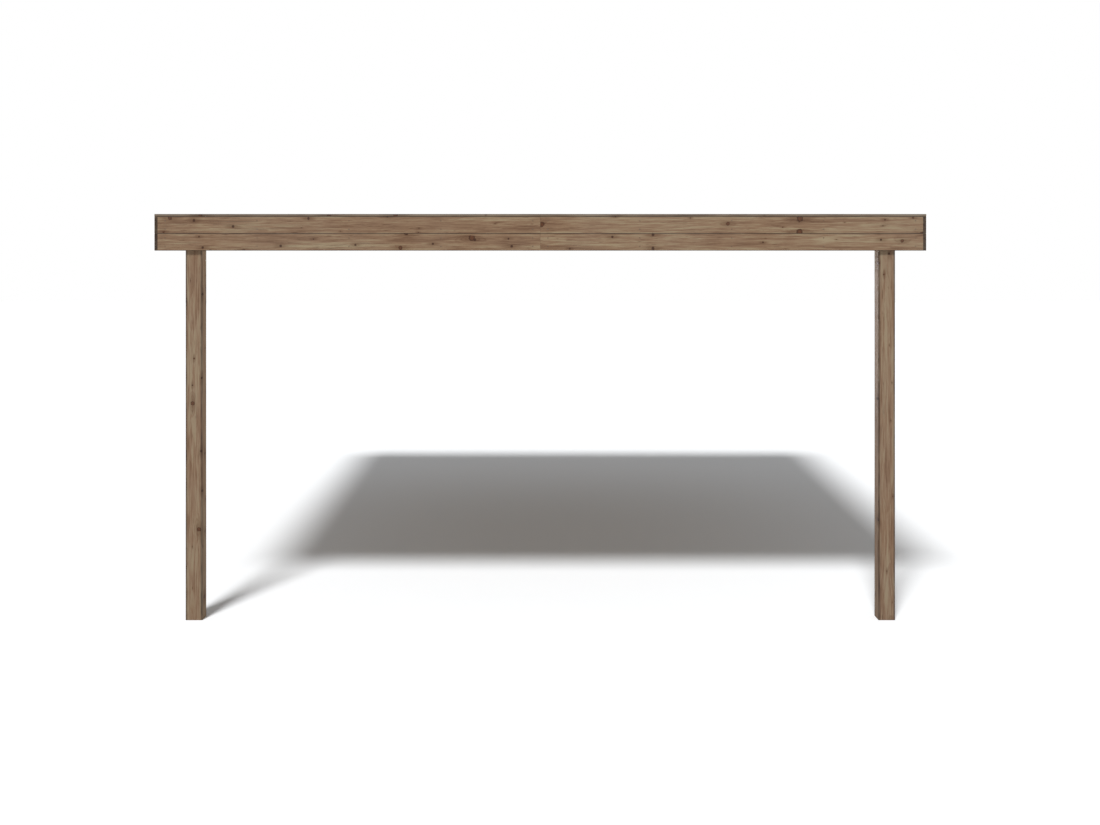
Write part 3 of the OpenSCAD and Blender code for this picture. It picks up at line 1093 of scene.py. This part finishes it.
def angle_bracket(rafter, header, inward):
    """An L on the inner side of an edge rafter."""
    low, high = BOX[rafter]
    side = 1 if low[0] < 0 else -1
    x = (high[0] if side > 0 else low[0]) + side * HALF
    path = [(x, header + inward * 0.085), (x, header + inward * HALF), (x + side * 0.055, header + inward * HALF)]
    levels = np.linspace(-0.034, 0.034, 3)
    on_rafter = grid_places([x + side * HALF], header + inward * np.array([0.035, 0.066]), levels)
    on_header = grid_places([x + side * 0.035], [header + inward * STEEL], levels)
    return [
        folded(path, (0, 1), (-0.05, 0.05)),
        nails(on_rafter, (side, 0, 0)),
        nails(on_header, (0, inward, 0)),
    ]


def nail_plate(post):
    """A flat plate across the joint of a post and the beam, on their rear face."""
    low, high = BOX[post]
    middle = (low[0] + high[0]) / 2
    joint, rear = high[2], high[1] + HALF
    path = [(middle - 0.034, rear), (middle, rear), (middle + 0.034, rear)]
    levels = joint + np.array([-0.07, -0.045, -0.02, 0.02, 0.045])
    places = grid_places(middle + np.array([-0.022, 0, 0.022]), [rear + HALF], levels)
    return [folded(path, (0, 1), (joint - 0.09, joint + 0.065)), nails(places, (0, 1, 0))]


beam_face = BOX["front_beam"][1][1]
ledger_face = BOX["wall_ledger"][0][1]
rafters = sorted((n for n in NODES if n.startswith("rafter")), key=lambda n: BOX[n][0][0])
shoes = []
for rafter in rafters[1:-1]:
    shoes += hanger(rafter, beam_face, 1) + hanger(rafter, ledger_face, -1)
make_piece("joist_hangers", shoes, "galvanised", crease=30.0)
brackets = []
for rafter in (rafters[0], rafters[-1]):
    brackets += angle_bracket(rafter, beam_face, 1) + angle_bracket(rafter, ledger_face, -1)
make_piece("angle_brackets", brackets, "galvanised", crease=30.0)
plates = nail_plate("post_left") + nail_plate("post_right")
make_piece("nail_plates", plates, "galvanised", crease=30.0)
print("steelwork:", 2 * (len(rafters) - 2), "hangers, 4 brackets, 2 plates")

# %% [markdown]
# ## Light and floor
# The cover stands on a white studio floor under an even white sky, with one large soft lamp high on the left
# behind the camera: it is a sun with a wide disc, which gives the long shadow its soft edge. Three weaker lamps
# fill the sides and the rear. They shine level with the floor, so they light upright faces only and leave the
# shadow on the floor as it is. Together they light the front at about full level, so a colour shows nearly as it
# was written. What the camera sees straight on as background is plain white, whatever light it gives, and the
# floor can't be seen from below, so that a camera under it looks up at the rafters.

# %% World, lamps and floor
SKY_LIGHT = 0.29
LAMPS = {
    "soft_sun": (2.7, 11.0, (0.189, 0.643, -1.0)),
    "right_fill": (1.5, 5.0, (-0.98, 0.20, 0.0)),
    "left_fill": (0.85, 5.0, (0.97, 0.24, 0.0)),
    "rear_fill": (0.8, 5.0, (0.2, -0.98, 0.0)),
}
FLOOR_SIZE = 60.0
FLOOR_LIGHT = 0.45
FLOOR_SEEN = (1.06, 1.08, 1.10)

world = bpy.data.worlds.new("studio")
world.use_nodes = True
world.node_tree.nodes.clear()
w = Graph(world.node_tree)
path = w.add("ShaderNodeLightPath")
direct = w.math("MAXIMUM", path.outputs["Is Camera Ray"], path.outputs["Is Transmission Ray"])
strength = w.math("ADD", SKY_LIGHT, w.math("MULTIPLY", direct, 1.0 - SKY_LIGHT))
sky = w.add("ShaderNodeBackground", {"Color": (1, 1, 1, 1), "Strength": strength})
w.add("ShaderNodeOutputWorld", {"Surface": sky.outputs[0]})
scene.world = world

for lamp_name, (energy, disc, travel) in LAMPS.items():
    lamp = bpy.data.lights.new(lamp_name, "SUN")
    lamp.energy = energy
    lamp.angle = math.radians(disc)
    lamp_object = bpy.data.objects.new(lamp_name, lamp)
    lamp_object.rotation_euler = Vector(travel).to_track_quat("-Z", "Y").to_euler()
    scene.collection.objects.link(lamp_object)

floor_material = bpy.data.materials.new("studio_floor")
floor_material.use_nodes = True
floor_material.node_tree.nodes.clear()
f = Graph(floor_material.node_tree)
seen = f.add("ShaderNodeLightPath").outputs["Is Camera Ray"]
floor_color = f.mix(seen, (FLOOR_LIGHT, FLOOR_LIGHT, FLOOR_LIGHT, 1), (*FLOOR_SEEN, 1))
floor_shader = f.add("ShaderNodeBsdfDiffuse", {"Color": floor_color})
below = f.add("ShaderNodeNewGeometry").outputs["Backfacing"]
clear = f.add("ShaderNodeBsdfTransparent")
either = f.add(
    "ShaderNodeMixShader",
    {0: f.math("MULTIPLY", seen, below), 1: floor_shader.outputs[0], 2: clear.outputs[0]},
)
f.add("ShaderNodeOutputMaterial", {"Surface": either.outputs[0]})
half = FLOOR_SIZE / 2
corners = [(x * half, y * half, cad_low.z) for x, y in ((-1, -1), (1, -1), (1, 1), (-1, 1))]
floor_mesh = bpy.data.meshes.new("studio_floor")
floor_mesh.from_pydata(corners, [], [(0, 1, 2, 3)])
floor_mesh.materials.append(floor_material)
floor = bpy.data.objects.new("studio_floor", floor_mesh)
scene.collection.objects.link(floor)
scene.view_settings.view_transform = "Standard"
print("light and floor done")
